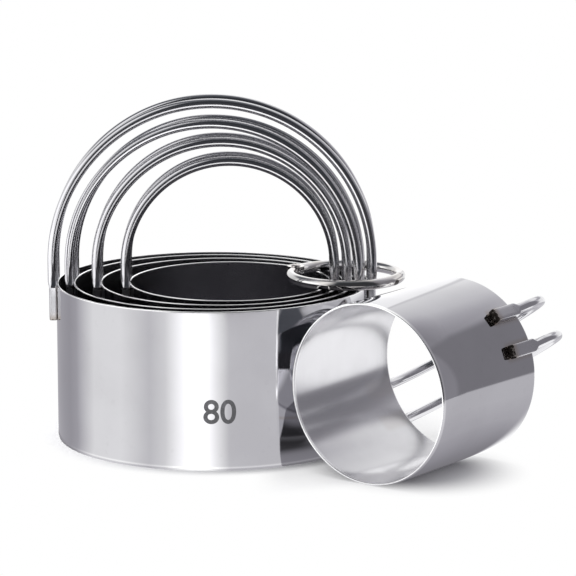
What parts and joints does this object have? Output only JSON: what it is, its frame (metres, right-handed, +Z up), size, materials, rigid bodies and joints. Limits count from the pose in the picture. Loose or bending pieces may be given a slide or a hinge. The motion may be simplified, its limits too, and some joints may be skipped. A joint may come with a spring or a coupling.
{
  "type": "biscuit cutter set",
  "caption": "Nesting round biscuit cutters of polished sheet steel, each with an arched twin-wire handle, held together by a hinged ring, the smallest lying beside the nest.",
  "frame": {"origin": "on the floor, at the axis of the largest cutter, in the plane of the cutting edges", "axes": "+Z up along the standing cutters' axes; X along the span of the standing handles, with the legs bundled in the ring on the +X side; the viewer stands on the -Y side and the lying cutter is in the +X -Y quarter"},
  "size_m": [0.1304, 0.107, 0.0877],
  "materials": {
    "band_steel": "mirror polished stainless sheet",
    "wire_steel": "bright drawn stainless wire",
    "ring_steel": "bright nickel-plated steel"
  },
  "bodies": {
    "small_cutter": {"small_cutter_band": "band_steel", "small_cutter_front_wire": "wire_steel", "small_cutter_back_wire": "wire_steel"},
    "middle_cutter": {"middle_cutter_band": "band_steel", "middle_cutter_front_wire": "wire_steel", "middle_cutter_back_wire": "wire_steel"},
    "large_cutter": {"large_cutter_band": "band_steel", "large_cutter_front_wire": "wire_steel", "large_cutter_back_wire": "wire_steel"},
    "largest_cutter": {"largest_cutter_band": "band_steel", "largest_cutter_front_wire": "wire_steel", "largest_cutter_back_wire": "wire_steel"},
    "ring_back": {"ring_back_half": "ring_steel", "ring_hinge_pin": "ring_steel"},
    "ring_front": {"ring_front_half": "ring_steel"},
    "smallest_cutter": {"smallest_cutter_band": "band_steel", "smallest_cutter_upper_wire": "wire_steel", "smallest_cutter_lower_wire": "wire_steel"}
  },
  "joints": [
    {"name": "middle_cutter_lift", "type": "slide", "parent": "small_cutter", "child": "middle_cutter", "axis": [0, 0, 1], "range_m": [0, 0.006]},
    {"name": "large_cutter_lift", "type": "slide", "parent": "middle_cutter", "child": "large_cutter", "axis": [0, 0, 1], "range_m": [0, 0.006]},
    {"name": "largest_cutter_lift", "type": "slide", "parent": "large_cutter", "child": "largest_cutter", "axis": [0, 0, 1], "range_m": [0, 0.006]},
    {"name": "ring_turn", "type": "hinge", "parent": "largest_cutter", "child": "ring_back", "pos_m": [0.03411, -0.0007, 0.0416], "axis": [0, 0, 1], "range_deg": [-60, 30]},
    {"name": "ring_open", "type": "hinge", "parent": "ring_back", "child": "ring_front", "pos_m": [0.02131, 0.00473, 0.0416], "axis": [0, 0, -1], "range_deg": [0, 100]},
    {"name": "smallest_cutter_pick_up", "type": "slide", "parent": "small_cutter", "child": "smallest_cutter", "axis": [0.566, -0.4239, 0.7071], "range_m": [0, 0.12]}
  ]
}
